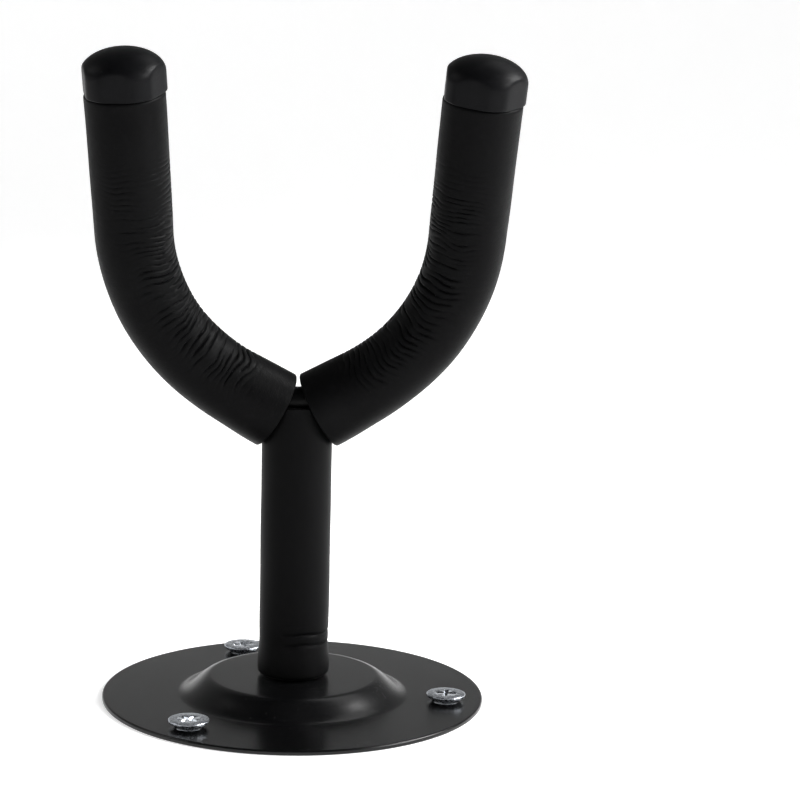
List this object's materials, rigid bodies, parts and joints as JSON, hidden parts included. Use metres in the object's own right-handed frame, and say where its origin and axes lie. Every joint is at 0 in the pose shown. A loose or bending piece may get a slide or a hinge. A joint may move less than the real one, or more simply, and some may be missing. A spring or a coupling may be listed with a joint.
{
  "type": "wall guitar hanger",
  "caption": "Wall guitar hanger: a round dished flange, a foam-sleeved stem and a foam-sleeved yoke with faceted end caps that swivels on the stem, with its screws and wall plugs.",
  "frame": {"origin": "where the stem's axis meets the wall plane, at the centre of the flange's back face", "axes": "+Z out of the wall along the stem, +X across the yoke from the left arm to the right, -Y the side that the yoke leans to, which is upwards when it hangs on a wall"},
  "size_m": [0.1087, 0.1, 0.2033],
  "materials": {
    "powder_coat": "satin black powder coat",
    "black_steel": "satin black",
    "foam": "black closed-cell foam with a smooth skin",
    "cap_moulding": "satin black moulding",
    "zinc": "bright zinc plate",
    "plug_nylon": "milky white nylon",
    "washer_nylon": "black nylon"
  },
  "bodies": {
    "wall_plate": {"wall_flange": "powder_coat", "wall_plug_1": "plug_nylon", "wall_plug_2": "plug_nylon", "wall_plug_3": "plug_nylon"},
    "yoke": {"pivot_bolt": "zinc", "spring_washer": "zinc", "thrust_washer": "washer_nylon", "stem_bar": "black_steel", "weld_bead": "black_steel", "stem_sleeve": "foam", "yoke_bar": "black_steel", "arm_sleeve_left": "foam", "arm_sleeve_right": "foam", "end_cap_left": "cap_moulding", "end_cap_right": "cap_moulding"},
    "screw_1": {"mounting_screw_1": "zinc"},
    "screw_2": {"mounting_screw_2": "zinc"},
    "screw_3": {"mounting_screw_3": "zinc"}
  },
  "joints": [
    {"name": "yoke_swivel", "type": "hinge", "parent": "wall_plate", "child": "yoke", "pos_m": [0, 0, 0], "axis": [0, 0, 1], "continuous": true},
    {"name": "screw_1_out", "type": "slide", "parent": "wall_plate", "child": "screw_1", "axis": [0, 0, 1], "range_m": [0, 0.041]},
    {"name": "screw_2_out", "type": "slide", "parent": "wall_plate", "child": "screw_2", "axis": [0, 0, 1], "range_m": [0, 0.041]},
    {"name": "screw_3_out", "type": "slide", "parent": "wall_plate", "child": "screw_3", "axis": [0, 0, 1], "range_m": [0, 0.041]}
  ]
}
